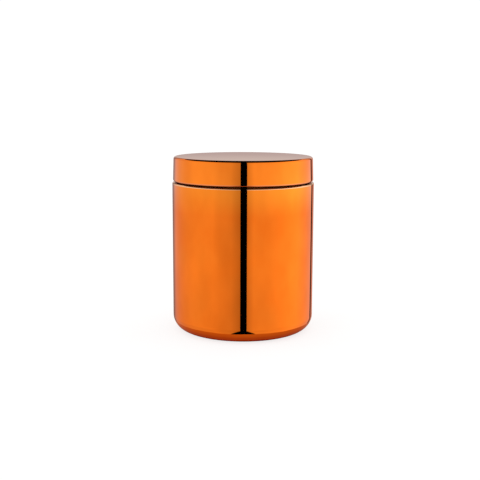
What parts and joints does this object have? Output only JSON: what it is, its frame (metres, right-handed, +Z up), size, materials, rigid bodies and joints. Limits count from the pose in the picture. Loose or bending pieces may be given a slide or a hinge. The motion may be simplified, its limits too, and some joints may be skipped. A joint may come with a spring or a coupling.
{
  "type": "candle tin",
  "caption": "Round drawn-metal candle tin with a mirror-bright orange finish, a rounded base and a slip-on lid over a stepped-in neck, filled with a container candle.",
  "frame": {"origin": "centre of the circle that the tin stands on", "axes": "+Z up along the tin's axis, from the base to the lid; X and Y are level and alike, since the tin is round"},
  "size_m": [0.08, 0.08, 0.0988],
  "materials": {
    "plated_sheet": "mirror-bright plating under a transparent orange lacquer",
    "plated_sheet_lid": "mirror-bright plating under a transparent orange lacquer",
    "liner_foam": "fine closed-cell polyethylene foam",
    "wax": "smooth ivory container wax, slightly translucent",
    "wick_cotton": "braided cotton, primed with wax",
    "tab_metal": "bright tinplate",
    "sticker_foam": "adhesive foam tape"
  },
  "bodies": {
    "tin": {"can_body": "plated_sheet", "wax_fill": "wax", "wick": "wick_cotton", "wick_sustainer": "tab_metal", "wick_sticker": "sticker_foam"},
    "lid": {"lid_shell": "plated_sheet_lid", "lid_liner": "liner_foam"}
  },
  "joints": [
    {"name": "lid_lift", "type": "slide", "parent": "tin", "child": "lid", "axis": [0, 0, 1], "range_m": [0, 0.06]}
  ]
}
